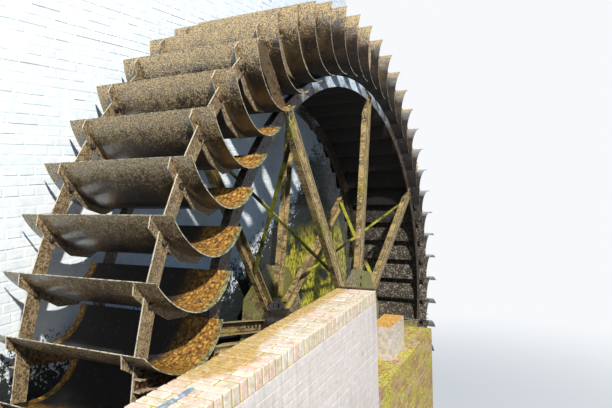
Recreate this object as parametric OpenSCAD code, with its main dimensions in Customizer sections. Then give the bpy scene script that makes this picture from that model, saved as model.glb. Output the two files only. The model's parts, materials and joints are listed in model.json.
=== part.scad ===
// Steel water wheel of a watermill, in its brick wheel pit beside a length of the mill wall.
// Millimetres. The origin is the middle of the wheel, on the axle.
// +X points downstream, +Y to the mill wall and +Z up.
// The wheel turns from +X towards +Z seen from the near side, which is -Y.

/* [Wheel] */
// Radius over the bucket lips
wheel_r = 3100; // [3000:10:3300]
// Width of the wheel along the axle
wheel_w = 1140; // [1100:10:1200]
// Angle of the first bucket lip above +X
bucket_first = 146.09; // [140:0.01:150]
// Buckets in each bay between two spokes
bay_buckets = 7; // [6:1:8]
// Spokes on each side
spoke_n = 8; // [8:1:9]

/* [Buckets] */
// Radius of the sheet's flatter outer curve
outer_arc_r = 505; // [480:1:530]
// Radius of the sheet's rounder inner curve
inner_arc_r = 292; // [280:1:300]
// Angle of the outer curve at the lip, about its own centre
lip_angle = 53.5; // [52:0.1:55]
// Angle where the outer curve runs into the inner one
turn_angle = 94.8; // [93:0.1:97]
// Thickness of a sheet
sheet_t = 6; // [4:0.5:10]

/* [Bucket brackets] */
// Distance of a bracket's inner face from the middle of the wheel
bracket_in = 421; // [400:1:426]
// Thickness of a bracket
bracket_t = 8; // [6:0.5:10]
// Length of a bracket from the lip inwards
bracket_len = 525; // [480:1:540]
// How far a bracket stands past its lip line at its widest
bracket_out = 152; // [140:1:165]
// Distance from the lip to a bracket's widest place
bracket_mid = 310; // [290:1:330]
// Width of a bracket's square outer corner past its lip line
bracket_nose = 68; // [60:1:80]

/* [Tie bars] */
// Radial width of a tie bar
tie_w = 93; // [60:1:110]
// Distance of a tie bar's outer edge inside the lips
tie_in = 87; // [70:1:110]
// Thickness of a tie bar
tie_t = 8; // [5:0.5:10]

/* [Struts] */
// Width of a strut
strut_w = 64; // [50:1:66]
// Depth of a strut along the axle
strut_d = 48; // [36:1:56]
// Thickness of a strut's walls
strut_t = 6; // [4:0.5:9]
// Angle of a strut behind the lip of its bucket
strut_lag = 3.55; // [3.4:0.01:3.7]
// Distance of a strut's outer end inside the lips
strut_in = 90; // [80:1:140]

/* [Rings] */
// Distance of the inner faces of rings and hub plates from the middle of the wheel
frame_in = 461; // [455:1:470]
// Thickness of rings and hub plates
plate_t = 8; // [6:0.5:12]
// Radial depth of a ring
ring_d = 99; // [80:1:120]
// Width of a ring's flange along the axle
ring_flange = 60; // [40:1:80]
// Gap between the segments of a ring
ring_gap = 4; // [2:0.5:10]
// Radius of a ring's bolt holes
ring_hole_r = 9; // [6:0.5:12]
// Distance of the bolt holes inside the ring's outer edge
ring_hole_in = 42; // [36:1:50]

/* [Spokes] */
// Width of a spoke
spoke_w = 120; // [100:1:140]
// Depth of a spoke along the axle
spoke_d = 55; // [40:1:70]
// Thickness of a spoke's web and flanges
spoke_t = 8; // [6:0.5:12]
// Gap between a hub's flange and a spoke's inner end
spoke_start = 20; // [10:1:40]
// Distance of a spoke's outer end inside the ring's outer edge
spoke_in = 24; // [10:1:40]
// Angle of a spoke behind the lip of its bucket
spoke_lag = 5.2; // [4.8:0.1:5.6]
// Length of the slanted cut on a spoke's flange
spoke_cut = 140; // [100:1:200]

/* [Cross braces] */
// Width of a brace bar
brace_w = 38; // [30:1:50]
// Thickness of a brace bar
brace_t = 6; // [4:0.5:10]
// Radius of a brace's outer foot
brace_r1 = 2280; // [2100:10:2300]
// Radius of a brace's inner foot
brace_r0 = 700; // [660:5:720]
// Length of a brace's foot
brace_foot = 90; // [60:1:96]
// Gap between a brace's foot and the flange of its spoke
foot_gap = 2; // [1:0.5:6]

/* [Hubs] */
// Distance from the centre of a hub plate to its flat sides
hub_plate_r = 620; // [620:1:660]
// Radius of the small hole in each bay of a hub plate
hub_hole_r = 13; // [8:0.5:20]
// Distance of those holes from the centre
hub_hole_at = 574; // [560:1:580]
// Angle of those holes behind a spoke
hub_hole_lag = 9.6; // [8:0.1:12]
// Radius of a hub's boss
boss_r = 150; // [140:1:170]
// Length of a boss on the inner side of its plate
boss_len = 190; // [150:5:240]
// Length of a boss on the outer side of its plate
boss_out = 40; // [30:1:60]
// Radius of a hub's flange
flange_r = 260; // [240:1:300]
// Thickness of a hub's flange
flange_t = 20; // [15:1:30]

/* [Shaft and bearings] */
// Radius of the shaft
shaft_r = 90; // [80:1:100]
// Radial running clearance of the shaft in its bearings
run_gap = 0.1; // [0.05:0.01:0.15]
// Radius of the turned drive end inside the mill
drive_r = 85; // [70:1:88]
// Length of the turned drive end
drive_len = 150; // [100:5:200]
// Distance of the drive end's tip beyond the mill wall
drive_out = 130; // [100:5:200]
// Width of the near bearing hood
hood_w = 428; // [400:1:460]
// Depth of the near bearing hood along the axle
hood_d = 197; // [180:1:220]
// Height of the near bearing hood above the axle
hood_h = 160; // [150:1:200]
// Wall between the near bearing's bore and its outer face
hood_wall = 12; // [8:1:20]
// Distance of the hood from the race face of its pier
hood_in = 10; // [5:1:20]
// Width of the far bearing
far_w = 400; // [360:1:440]
// Depth of the far bearing along the axle
far_d = 240; // [200:1:260]
// Height of the far bearing above the axle
far_h = 170; // [150:1:200]
// Width and height of the shaft opening in the mill wall
hole_w = 500; // [480:1:540]

/* [Masonry] */
// Clearance between the wheel and the walls on both sides
side_gap = 110; // [100:1:140]
// Clearance between the lips and the curved breast
race_gap = 50; // [45:1:80]
// Thickness of the floor under the race
floor_t = 250; // [200:10:400]
// Thickness of the near pit wall
pit_wall_t = 320; // [300:1:340]
// Height of the near pit wall's top above the axle
pit_wall_h = 680; // [600:1:760]
// Distance of the near pit wall's end from the axle
pit_wall_end = 930; // [800:10:1000]
// Height of the brick on edge coping
coping_h = 100; // [90:1:110]
// Depth of the low pier's top below the axle
pier_drop = 155; // [140:1:180]
// Distance of the low pier's far end from the axle
pier_end = 900; // [800:10:1200]
// Thickness of the mill wall
mill_wall_t = 440; // [400:1:480]
// Height of the mill wall's top above the axle
mill_wall_h = 4400; // [4000:10:4600]
// Length of the masonry upstream of the axle
up_len = 3720; // [3600:10:4000]
// Length of the mill wall and the floor downstream of the axle
down_len = 2940; // [2800:10:3200]
// Depth of the inlet sill below the axle
sill_drop = 465; // [400:5:600]
// Columns that make up the curved breast
breast_n = 8; // [6:1:12]

/* [Iron on the coping] */
// Width of each leg of the edge angle
angle_w = 40; // [30:1:50]
// Thickness of the edge angle
angle_t = 5; // [3:0.5:8]
// Length of the coping strap
strap_len = 320; // [200:5:400]
// Width of the strap
strap_w = 25; // [20:1:60]
// Thickness of the strap
strap_t = 8; // [5:0.5:10]
// Distance of the strap's near end from the axle
strap_end = 3000; // [2900:5:3100]
// Distance of the strap's middle from the outer face of the wall
strap_in = 155; // [130:1:200]

/* [Hidden] */
// Gap left where a curved face seats on another piece
seat = 0.3;
// Room beyond the shaft's blind end and the spokes' flanges, and the overlap of cuts
end_room = 5;
over = 1;
// Facets of a round face
$fn = 96;

// Buckets on the whole wheel, and the angle from one to the next
bucket_n = bay_buckets * spoke_n;
pitch = 360 / bucket_n;
bay = 360 / spoke_n;
// Centres of a sheet's two curves, radially and along the rim, and the angle of its foot
outer_arc = [wheel_r, 0] - outer_arc_r * [cos(lip_angle), sin(lip_angle)];
inner_arc = outer_arc + (outer_arc_r - inner_arc_r) * [cos(turn_angle), sin(turn_angle)];
sheet_turn = outer_arc + outer_arc_r * [cos(turn_angle), sin(turn_angle)];
foot_angle = 180 + atan2(inner_arc[1], inner_arc[0]);
foot_r = norm(inner_arc) - inner_arc_r;
// Outer edge of the rings, just under the sheets' feet
ring_r = foot_r - sheet_t / 2 - seat;
ring_holes = 2 * bay_buckets;
// Half the length of a bar before the sheets cut it
tie_reach = 0.6 * wheel_r * sin(pitch);
// Faces along the axle, measured from the middle of the wheel
bracket_face = bracket_in + bracket_t;
tie_face = bracket_face + tie_t;
frame_out = frame_in + plate_t;
web_out = frame_out + spoke_t;
hub_out = web_out + plate_t;
race_y = wheel_w / 2 + side_gap;
pier_y = race_y + pit_wall_t;
mill_y = race_y + mill_wall_t;
spoke_r0 = flange_r + spoke_start;
spoke_r1 = ring_r - spoke_in;
// Heights
race_r = wheel_r + race_gap;
base_z = -(race_r + floor_t);
sill_angle = 180 + asin(sill_drop / race_r);
sill_x = race_r * cos(sill_angle);
// Bucket whose lip stands next to the first spoke
spoke_bucket = -3;

// Angle of bucket k's lip, and of spoke j
function bucket_angle(k) = bucket_first + k * pitch;
function spoke_angle(j) = bucket_angle(spoke_bucket + j * bay_buckets) - spoke_lag;

// A plate drawn as radius and height, from one distance along the axle to another
module plate(from, to) {
    translate([0, to, 0]) rotate([90, 0, 0]) linear_extrude(to - from) children();
}

// Turns a piece about the axle, from +X towards +Z
module turn(angle) {
    rotate([0, -angle, 0]) children();
}

// Pieces are drawn for the far side, and mirrored for the near one
module near() {
    mirror([0, 1, 0]) children();
}

// Everything on the hollow side of a sheet's curves, with a clearance beyond its middle.
// The outer curve holds on the lip's side of the line through both centres.
module hollow_side(clear) {
    translate(inner_arc) circle(r = inner_arc_r + clear);
    intersection() {
        translate(outer_arc) circle(r = outer_arc_r + clear);
        translate(outer_arc) rotate(turn_angle)
            translate([-wheel_r, -2 * wheel_r]) square(2 * wheel_r);
    }
}

// Masonry block from one corner to the opposite one
module block(from, to) {
    translate(from) cube(to - from);
}

module race_floor() {
    color([0.16, 0.15, 0.12]) block([0, -race_y, base_z], [down_len, race_y, -race_r]);
}

module inlet_sill() {
    color([0.2, 0.18, 0.14]) block([-up_len, -race_y, base_z], [sill_x, race_y, -sill_drop]);
}

// Curved breast under the wheel, in columns
module breast() {
    step = (270 - sill_angle) / breast_n;
    color([0.17, 0.16, 0.13])
    for (i = [0 : breast_n - 1]) {
        x0 = race_r * cos(sill_angle + i * step);
        x1 = race_r * cos(sill_angle + (i + 1) * step);
        top = race_r * sin(sill_angle + i * step);
        plate(-race_y, race_y) difference() {
            translate([x0, base_z]) square([x1 - x0, top - base_z]);
            circle(r = race_r);
        }
    }
}

module pit_wall() {
    color([0.86, 0.76, 0.7])
    block([-up_len, -pier_y, base_z], [-pit_wall_end, -race_y, pit_wall_h - coping_h]);
}

module pit_wall_coping() {
    color([0.83, 0.74, 0.6])
    block([-up_len, -pier_y, pit_wall_h - coping_h], [-pit_wall_end, -race_y, pit_wall_h]);
}

module pier_wall() {
    color([0.8, 0.72, 0.66])
    block([-pit_wall_end, -pier_y, base_z], [pier_end, -race_y, -pier_drop]);
}

// Round room for the shaft in the near bearing, closed at the outer face
module near_bore() {
    outer = race_y + hood_in + hood_d - hood_wall;
    plate(-outer, -race_y) circle(r = shaft_r + run_gap);
}

module bearing_base_near() {
    y1 = -(race_y + hood_in);
    color([0.5, 0.38, 0.3]) difference() {
        block([-hood_w / 2, y1 - hood_d, -pier_drop], [hood_w / 2, y1, 0]);
        near_bore();
    }
}

module bearing_hood_near() {
    y1 = -(race_y + hood_in);
    color([0.68, 0.34, 0.14]) difference() {
        block([-hood_w / 2, y1 - hood_d, 0], [hood_w / 2, y1, hood_h]);
        near_bore();
    }
}

// Steel angle along the end edge of the coping
module edge_angle() {
    x0 = -pit_wall_end;
    color([0.15, 0.13, 0.12]) {
        block([x0 - angle_w, -pier_y, pit_wall_h],
            [x0 + angle_t, -race_y, pit_wall_h + angle_t]);
        block([x0, -pier_y, pit_wall_h - angle_w], [x0 + angle_t, -race_y, pit_wall_h]);
    }
}

module coping_strap() {
    y0 = -pier_y + strap_in - strap_w / 2;
    color([0.3, 0.17, 0.1])
    block([-strap_end - strap_len, y0, pit_wall_h],
        [-strap_end, y0 + strap_w, pit_wall_h + strap_t]);
}

module mill_wall_left() {
    color([0.85, 0.87, 0.9])
    block([-up_len, race_y, base_z], [-hole_w / 2, mill_y, mill_wall_h]);
}

module mill_wall_right() {
    color([0.85, 0.87, 0.9])
    block([hole_w / 2, race_y, base_z], [down_len, mill_y, mill_wall_h]);
}

module mill_wall_base() {
    color([0.45, 0.45, 0.42])
    block([-hole_w / 2, race_y, base_z], [hole_w / 2, mill_y, -hole_w / 2]);
}

module mill_wall_head() {
    color([0.85, 0.87, 0.9])
    block([-hole_w / 2, race_y, hole_w / 2], [hole_w / 2, mill_y, mill_wall_h]);
}

// One half of the far bearing, from one height to another
module far_half(z0, z1) {
    y0 = race_y + (mill_wall_t - far_d) / 2;
    difference() {
        block([-far_w / 2, y0, z0], [far_w / 2, y0 + far_d, z1]);
        plate(race_y, mill_y) circle(r = shaft_r + run_gap);
    }
}

module bearing_base_far() {
    color([0.25, 0.22, 0.2]) far_half(-hole_w / 2, 0);
}

module bearing_cap_far() {
    color([0.28, 0.22, 0.18]) far_half(0, far_h);
}

// Shaft from the blind end in the near bearing to the turned drive end in the mill
module shaft() {
    y0 = -(race_y + hood_in + hood_d - hood_wall - end_room);
    y1 = mill_y + drive_out;
    color([0.3, 0.24, 0.2]) {
        plate(y0, y1 - drive_len) circle(r = shaft_r);
        plate(y1 - drive_len - over, y1) circle(r = drive_r);
    }
}

// Boss and bolted flange that carry one hub plate
module hub() {
    difference() {
        union() {
            plate(web_out - boss_len, hub_out + boss_out) circle(r = boss_r);
            plate(web_out - flange_t, web_out) circle(r = flange_r);
        }
        plate(web_out - boss_len - over, hub_out + boss_out + over) circle(r = shaft_r + seat);
    }
}

module hub_near() {
    color([0.25, 0.2, 0.17]) near() hub();
}

module hub_far() {
    color([0.25, 0.2, 0.17]) hub();
}

// Plate over the spokes' inner ends, with one flat side for each spoke
module hub_plate() {
    plate(web_out, hub_out) difference() {
        rotate(spoke_angle(0) - bay / 2) circle(r = hub_plate_r / cos(bay / 2), $fn = spoke_n);
        circle(r = boss_r + seat);
        for (j = [0 : spoke_n - 1])
            rotate(spoke_angle(j) - hub_hole_lag) translate([hub_hole_at, 0])
                circle(r = hub_hole_r);
    }
}

module hub_plate_near() {
    color([0.5, 0.42, 0.33]) near() hub_plate();
}

module hub_plate_far() {
    color([0.5, 0.42, 0.33]) hub_plate();
}

// Angle ring under the buckets, one segment in each bay
module ring() {
    half_gap = asin(ring_gap / 2 / ring_r);
    section = [[ring_r - ring_d, frame_in], [ring_r - plate_t, frame_in],
        [ring_r - plate_t, frame_out - ring_flange], [ring_r, frame_out - ring_flange],
        [ring_r, frame_out], [ring_r - ring_d, frame_out]];
    for (j = [0 : spoke_n - 1])
        difference() {
            turn(spoke_angle(j) + half_gap) rotate([90, 0, 0])
                rotate_extrude(angle = bay - 2 * half_gap, $fn = 360)
                    mirror([0, 1]) polygon(section);
            for (i = [0 : ring_holes - 1])
                turn(spoke_angle(j) + (i + 0.5) * bay / ring_holes)
                    plate(frame_in - over, frame_out + over)
                        translate([ring_r - ring_hole_in, 0]) circle(r = ring_hole_r, $fn = 24);
        }
}

module ring_near() {
    color([0.55, 0.6, 0.66]) near() ring();
}

module ring_far() {
    color([0.55, 0.6, 0.66]) ring();
}

// Channel spoke lying along +X. Its web laps over the ring's outer face, and its flanges point
// to the middle of the wheel and end in a slanted cut short of the ring.
module spoke() {
    tip = web_out - spoke_d;
    stop = ring_r - ring_d - end_room;
    difference() {
        translate([spoke_r0, tip, -spoke_w / 2]) cube([spoke_r1 - spoke_r0, spoke_d, spoke_w]);
        translate([0, tip - over, spoke_t - spoke_w / 2])
            cube([wheel_r, spoke_d - spoke_t + over, spoke_w - 2 * spoke_t]);
        translate([0, 0, -spoke_w]) linear_extrude(2 * spoke_w)
            polygon([[stop - spoke_cut, tip], [stop - spoke_cut, tip - over], [wheel_r, tip - over],
                [wheel_r, frame_out], [stop, frame_out]]);
    }
}

module spokes() {
    for (j = [0 : spoke_n - 1])
        turn(spoke_angle(j)) spoke();
}

module spokes_near() {
    color([0.55, 0.5, 0.38]) near() spokes();
}

module spokes_far() {
    color([0.45, 0.4, 0.3]) spokes();
}

// Flat bar from the near spoke's outer end to the far spoke's inner end, inside both channels and
// beside the +Z face of y = 0
module brace() {
    run = brace_r1 - brace_r0;
    slope = atan2(2 * frame_out, -run);
    reach = norm([run, 2 * frame_out]) + 2 * brace_w;
    foot_w = spoke_w / 2 - spoke_t - foot_gap;
    translate([0, 0, seat / 2]) {
        intersection() {
            translate([(brace_r0 + brace_r1) / 2, 0, 0])
                rotate([0, 0, slope]) translate([-reach / 2, -brace_w / 2, 0])
                    cube([reach, brace_w, brace_t]);
            translate([0, -frame_out, 0]) cube([wheel_r, 2 * frame_out, brace_t]);
        }
        translate([brace_r1 - brace_foot / 2, -frame_out, 0])
            cube([brace_foot, brace_t, foot_w]);
        translate([brace_r0 - brace_foot / 2, frame_out - brace_t, 0])
            cube([brace_foot, brace_t, foot_w]);
    }
}

// Crossed pairs of braces at every second spoke
module braces() {
    color([0.5, 0.5, 0.15])
    for (j = [0 : 2 : spoke_n - 1])
        turn(spoke_angle(j)) {
            brace();
            mirror([0, 1, 0]) mirror([0, 0, 1]) brace();
        }
}

// Everything between the lines that end a sheet at its lip and at its foot
module sheet_span() {
    reach = 2 * outer_arc_r;
    corners = [for (angle = [lip_angle, turn_angle, (turn_angle + foot_angle) / 2])
        outer_arc + reach * [cos(angle), sin(angle)]];
    foot_end = inner_arc + reach * [cos(foot_angle), sin(foot_angle)];
    polygon([outer_arc, each corners, foot_end, inner_arc]);
}

// Curved sheet of bucket k
module bucket(k) {
    plate(-wheel_w / 2, wheel_w / 2) rotate(bucket_angle(k)) intersection() {
        difference() {
            hollow_side(sheet_t / 2);
            hollow_side(-sheet_t / 2);
        }
        sheet_span();
    }
}

// The buckets of one bay
module bucket_bay(bay_no) {
    color([0.32, 0.2, 0.12])
    for (i = [0 : bay_buckets - 1])
        bucket(bay_no * bay_buckets + i);
}

module buckets_1() {
    bucket_bay(0);
}

module buckets_2() {
    bucket_bay(1);
}

module buckets_3() {
    bucket_bay(2);
}

module buckets_4() {
    bucket_bay(3);
}

module buckets_5() {
    bucket_bay(4);
}

module buckets_6() {
    bucket_bay(5);
}

module buckets_7() {
    bucket_bay(6);
}

module buckets_8() {
    bucket_bay(7);
}

// Bracket plates on the outer curve of the sheets, drawn as radius and distance along the rim.
// The outer edge runs from the nose over the widest place to the tip, which lies on the sheet.
module brackets() {
    nose = [wheel_r - bracket_nose / 5, bracket_nose];
    widest = [wheel_r - bracket_mid, bracket_out];
    tip = [wheel_r - bracket_len, bracket_out / 6];
    // the edge bends outwards a little between these three points
    shoulder = nose + 0.33 * (widest - nose) + [0, bracket_out / 15];
    waist = widest + 0.67 * (tip - widest) + [0, bracket_out / 3];
    outline = [[wheel_r, 0], nose, shoulder, widest, waist, tip, sheet_turn - [0, bracket_out]];
    for (k = [0 : bucket_n - 1])
        plate(bracket_in, bracket_face) rotate(bucket_angle(k)) difference() {
            polygon(outline);
            hollow_side(sheet_t / 2 + seat);
        }
}

module brackets_near() {
    color([0.62, 0.5, 0.36]) near() brackets();
}

module brackets_far() {
    color([0.62, 0.5, 0.36]) brackets();
}

// Flat bars from each bracket to the hollow side of the next sheet
module tie_bars() {
    for (k = [0 : bucket_n - 1])
        plate(bracket_face, tie_face) rotate(bucket_angle(k)) difference() {
            intersection() {
                rotate(pitch / 2) translate([wheel_r - tie_in - tie_w, -tie_reach])
                    square([tie_w, 2 * tie_reach]);
                rotate(pitch) hollow_side(-sheet_t / 2 - seat);
            }
            hollow_side(sheet_t / 2 + seat);
        }
}

module tie_bars_near() {
    color([0.6, 0.5, 0.38]) near() tie_bars();
}

module tie_bars_far() {
    color([0.6, 0.5, 0.38]) tie_bars();
}

// Outline of one wall of a strut between two sheets, from one side to the other
module strut_wall(from, to) {
    difference() {
        intersection() {
            rotate(-strut_lag) translate([foot_r - strut_w, from])
                square([wheel_r - strut_in - foot_r + strut_w, to - from]);
            hollow_side(-sheet_t / 2 - seat);
        }
        rotate(-pitch) hollow_side(sheet_t / 2 + seat);
    }
}

// Channel struts on the tie bars, one beside each spoke
module struts() {
    half = strut_w / 2;
    for (j = [0 : spoke_n - 1]) {
        angle = bucket_angle(spoke_bucket + j * bay_buckets);
        plate(tie_face, tie_face + strut_t) rotate(angle) strut_wall(-half, half);
        plate(tie_face + strut_t, tie_face + strut_d) rotate(angle) {
            strut_wall(-half, strut_t - half);
            strut_wall(half - strut_t, half);
        }
    }
}

module struts_near() {
    color([0.5, 0.3, 0.18]) near() struts();
}

module struts_far() {
    color([0.5, 0.3, 0.18]) struts();
}

race_floor();
inlet_sill();
breast();
pit_wall();
pit_wall_coping();
pier_wall();
bearing_base_near();
bearing_hood_near();
edge_angle();
coping_strap();
mill_wall_left();
mill_wall_right();
mill_wall_base();
mill_wall_head();
bearing_base_far();
bearing_cap_far();
shaft();
hub_near();
hub_far();
hub_plate_near();
hub_plate_far();
ring_near();
ring_far();
spokes_near();
spokes_far();
braces();
buckets_1();
buckets_2();
buckets_3();
buckets_4();
buckets_5();
buckets_6();
buckets_7();
buckets_8();
brackets_near();
brackets_far();
tie_bars_near();
tie_bars_far();
struts_near();
struts_far();
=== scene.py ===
"""Looks of a steel water wheel in its brick pit beside a white mill wall.

Metres. The origin is the middle of the wheel on its shaft, +X runs downstream,
+Y to the mill wall and +Z up. Bricks, bolts and washers are worked out here as
whole numpy arrays; everything else keeps its solid and gets its finish.
"""
import json
import math

import bpy
import numpy as np
from mathutils import Matrix, Vector


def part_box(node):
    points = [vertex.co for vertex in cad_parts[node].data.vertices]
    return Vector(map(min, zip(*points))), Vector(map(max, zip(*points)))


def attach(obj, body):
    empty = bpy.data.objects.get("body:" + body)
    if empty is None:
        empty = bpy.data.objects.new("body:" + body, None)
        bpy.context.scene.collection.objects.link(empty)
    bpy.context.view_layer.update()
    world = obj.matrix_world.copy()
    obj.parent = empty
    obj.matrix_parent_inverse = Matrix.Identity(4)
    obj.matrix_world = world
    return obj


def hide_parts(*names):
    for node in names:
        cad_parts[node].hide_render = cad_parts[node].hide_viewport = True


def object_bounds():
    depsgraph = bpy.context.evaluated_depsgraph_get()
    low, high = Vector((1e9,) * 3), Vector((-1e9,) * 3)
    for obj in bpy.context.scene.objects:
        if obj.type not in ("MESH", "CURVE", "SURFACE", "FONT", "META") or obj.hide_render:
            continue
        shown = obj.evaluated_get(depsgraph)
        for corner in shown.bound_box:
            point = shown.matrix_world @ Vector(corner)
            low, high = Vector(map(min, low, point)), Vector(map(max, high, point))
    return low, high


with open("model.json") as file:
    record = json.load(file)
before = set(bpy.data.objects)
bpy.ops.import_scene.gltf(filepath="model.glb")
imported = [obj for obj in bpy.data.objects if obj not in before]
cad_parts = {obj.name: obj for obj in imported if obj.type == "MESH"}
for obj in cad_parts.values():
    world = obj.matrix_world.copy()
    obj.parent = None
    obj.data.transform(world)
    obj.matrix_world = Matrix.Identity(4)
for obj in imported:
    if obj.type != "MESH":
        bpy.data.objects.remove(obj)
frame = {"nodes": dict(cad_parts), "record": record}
frame_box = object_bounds()

# Sizes of the wheel and its race, as in the part's source
WHEEL_R = 3.1
WHEEL_HALF = 0.57
BUCKETS = 56
BAYS = 8
PITCH = 2 * math.pi / BUCKETS
FIRST_LIP = math.radians(146.09)
SPOKE_LAG = math.radians(5.2)
SPOKE_BUCKET = -3
FIRST_SPOKE = FIRST_LIP + SPOKE_BUCKET * PITCH - SPOKE_LAG
BRACE_R = (0.70, 2.28)
RACE_R = 3.15
SILL_DROP = 0.465

# Faces of the wheel that bolts stand on, by their distance from its middle
BRACKET_IN = 0.421
TIE_FACE = 0.437
FLANGE_IN = 0.457
BRACE_FOOT_Y = 0.463
WEB_INSIDE = 0.469
WEB_FACE = 0.477
PLATE_FACE = 0.485

# Where the wheel's bolts are: radii about the shaft, and angles past a lip or a spoke's middle line
BAR_BOLT_R = 2.960
BAR_BOLT_LAG = 0.034
RING_BOLT_R = 2.434
RING_BOLT_LAG = 0.011
TAIL_BOLT_R = 2.389
PLATE_BOLTS_R = (0.34, 0.41, 0.48, 0.55)
HUB_BOLT_R = 0.205
HUB_BOLTS = 12
FOOT_BOLT_ALONG = 0.03
FOOT_BOLT_BESIDE = 0.025

# Radii of the hexagon heads, and the washers under them
WASHER_SPREAD = 1.45
WASHER_DEPTH = 0.003
HEAD_HEIGHT = 0.75
HEAD_CHAMFER = (0.86, 0.85)
BEARING_BOLT = 0.018
HUB_BOLT = 0.017
BAR_BOLT = 0.015
SPOKE_BOLT = 0.014
SMALL_BOLT = 0.010
STRAP_BOLT = 0.009

# How far the bolts of the bearings and the strap stand in from the edges
STRAP_BOLT_IN = 0.115
HOOD_BOLT_IN = (0.04, 0.03)
CAP_BOLT_IN = (0.04, 0.05)

# Brickwork: sizes of the bricks and joints, and how much single bricks differ from each other
COURSE = 0.0632
STRETCHER = 0.22
JOINT = 0.008
PROUD = 0.003
CHAMFER = 0.004
CHAMFER_SPREAD = (0.6, 1.6)
HEIGHT_SPREAD = (-0.0015, 0.002)
LEAN = 0.001
LEAST_HEIGHT = 0.12
SMALLEST_BRICK = 0.03
SLAB_POINTS = 8
BLOCK_POINTS = 24
LIMEWASH_RELIEF = 0.35
COPING_PITCH = 0.066
COPING_JOINT = 0.009
COPING_EDGE = 0.005
COPING_SUNK = 0.005
COPING_BED = 0.002
MORTAR_IN = 0.004
MORTAR_DOWN = 0.007
MORTAR_EDGE = 0.002
SHORT_BRICK = 0.105

# Growth: where the wheel's spray meets the mill wall and how high it climbs there, and the wide
# bulge of moss on the coping
SPRAY_X = 1.75
SPRAY_WIDTH = 0.6
SPRAY_HEIGHT = 0.8
BULGE_X = -2.62
BULGE_WIDTH = 0.24
BULGE_DEPTH = 0.13
EULER = 2.718

# The camera: its place, its yaw, pitch and roll in degrees, and its focal length in pixels
CAMERA_PLACE = (-4.8298, -2.3370, 1.6354)
CAMERA_TURN = (63.814, -3.7296, -2.0506)
FOCAL_PIXELS = 531.088
PICTURE_WIDTH = 612
SENSOR_WIDTH = 36
SIGHT = 200

# Directions
UP = (0, 0, 1)
DOWNSTREAM = (1, 0, 0)
UPSTREAM = (-1, 0, 0)
TO_MILL = (0, 1, 0)
FROM_MILL = (0, -1, 0)

# Light: the way to the sun, its distance, and how bright it is on a face that looks at it
TO_SUN = Vector((-0.53, -0.53, 0.66)).normalized()
SUN_DISTANCE = 20.0
SUN_SIZE = 0.5
SUN_LEVEL = 1.5
SUN_COLOUR = (1.0, 0.92, 0.79)
SKY_LEVEL = 0.34
SKY_COLOUR = (0.38, 0.65, 1.0, 1)
BACKGROUND = (0.93, 0.95, 0.97, 1)
FLOOR_SEEN = (0.84, 0.85, 0.86, 1)
FLOOR_BOUNCE = (0.12, 0.13, 0.12, 1)
FLOOR_REACH = 60
FLOOR_FADE = (6.0, 14.0)

rng = np.random.default_rng(56)


# The camera, at the photograph's viewing angle

def view_axes(yaw, pitch, roll):
    """Forward, right and up of a camera turned from +Y towards +X, tipped up and rolled."""
    ahead = math.cos(pitch)
    forward = Vector((math.sin(yaw) * ahead, math.cos(yaw) * ahead, math.sin(pitch)))
    level = Vector((math.cos(yaw), -math.sin(yaw), 0))
    rise = level.cross(forward)
    right = math.cos(roll) * level + math.sin(roll) * rise
    up = math.cos(roll) * rise - math.sin(roll) * level
    return forward, right, up


def make_camera():
    """The camera that saw the photograph, from its place, its turn and its focal length."""
    forward, right, up = view_axes(*(math.radians(turn) for turn in CAMERA_TURN))
    data = bpy.data.cameras.new("view")
    data.sensor_width = SENSOR_WIDTH
    data.lens = SENSOR_WIDTH * FOCAL_PIXELS / PICTURE_WIDTH
    data.clip_end = SIGHT
    camera = bpy.data.objects.new("view", data)
    turn = Matrix((right, up, -forward)).transposed()
    camera.matrix_world = Matrix.Translation(CAMERA_PLACE) @ turn.to_4x4()
    bpy.context.collection.objects.link(camera)
    bpy.context.scene.camera = camera


# Meshes from arrays

def mesh_piece(name, points, faces, material, body, tone=None):
    """One object from an array of points and a list of face arrays, one array for each number of
    corners. The tone is a random number from 0 to 1 at each point, which its finish may read."""
    mesh = bpy.data.meshes.new(name)
    mesh.from_pydata(points.tolist(), [], [face for part in faces for face in part.tolist()])
    mesh.materials.append(material)
    if tone is not None:
        mesh.attributes.new("tone", "FLOAT", "POINT").data.foreach_set("value", tone)
    mesh.update()
    piece = bpy.data.objects.new(name, mesh)
    bpy.context.collection.objects.link(piece)
    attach(piece, body)
    return piece


def repeated(points, faces, frames):
    """Copies of one small shape: each frame is a 3 by 4 array that turns and places its points."""
    turned = np.einsum("nij,pj->npi", frames[:, :, :3], points) + frames[:, None, :, 3]
    starts = (np.arange(len(frames)) * len(points))[:, None, None]
    return turned.reshape(-1, 3), [(part[None] + starts).reshape(-1, part.shape[1]) for part in faces]


# Brickwork

def bond(width, height, holes=()):
    """Rectangles of an English cross bond: header courses and stretcher courses take turns, and
    every second stretcher course is shifted by half a brick. Bricks are cut at holes and ends."""
    half = STRETCHER / 2
    rects = []
    for row in range(math.ceil(height / COURSE)):
        header = row % 2 == 0
        step = half if header else STRETCHER
        shift = half / 2 if header else (half if row % 4 == 1 else 0)
        left = np.arange(-step, width + step, step) + shift
        low = np.full_like(left, row * COURSE)
        rects.append(np.stack([left, left + step, low, low + COURSE], 1))
    rects = np.concatenate(rects)
    rects[:, :2] = np.clip(rects[:, :2], 0, width)
    rects[:, 2:] = np.clip(rects[:, 2:], 0, height)
    for u0, u1, v0, v1 in holes:
        beside = (rects[:, 3] <= v0) | (rects[:, 2] >= v1)
        left, right = rects.copy(), rects.copy()
        left[:, 1] = np.where(beside, left[:, 1], np.minimum(left[:, 1], u0))
        right[:, 0] = np.where(beside, right[:, 1], np.maximum(right[:, 0], u1))
        rects = np.concatenate([left, right])
    wide = rects[:, 1] - rects[:, 0] > SMALLEST_BRICK
    high = rects[:, 3] - rects[:, 2] > SMALLEST_BRICK
    return rects[wide & high]


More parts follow.
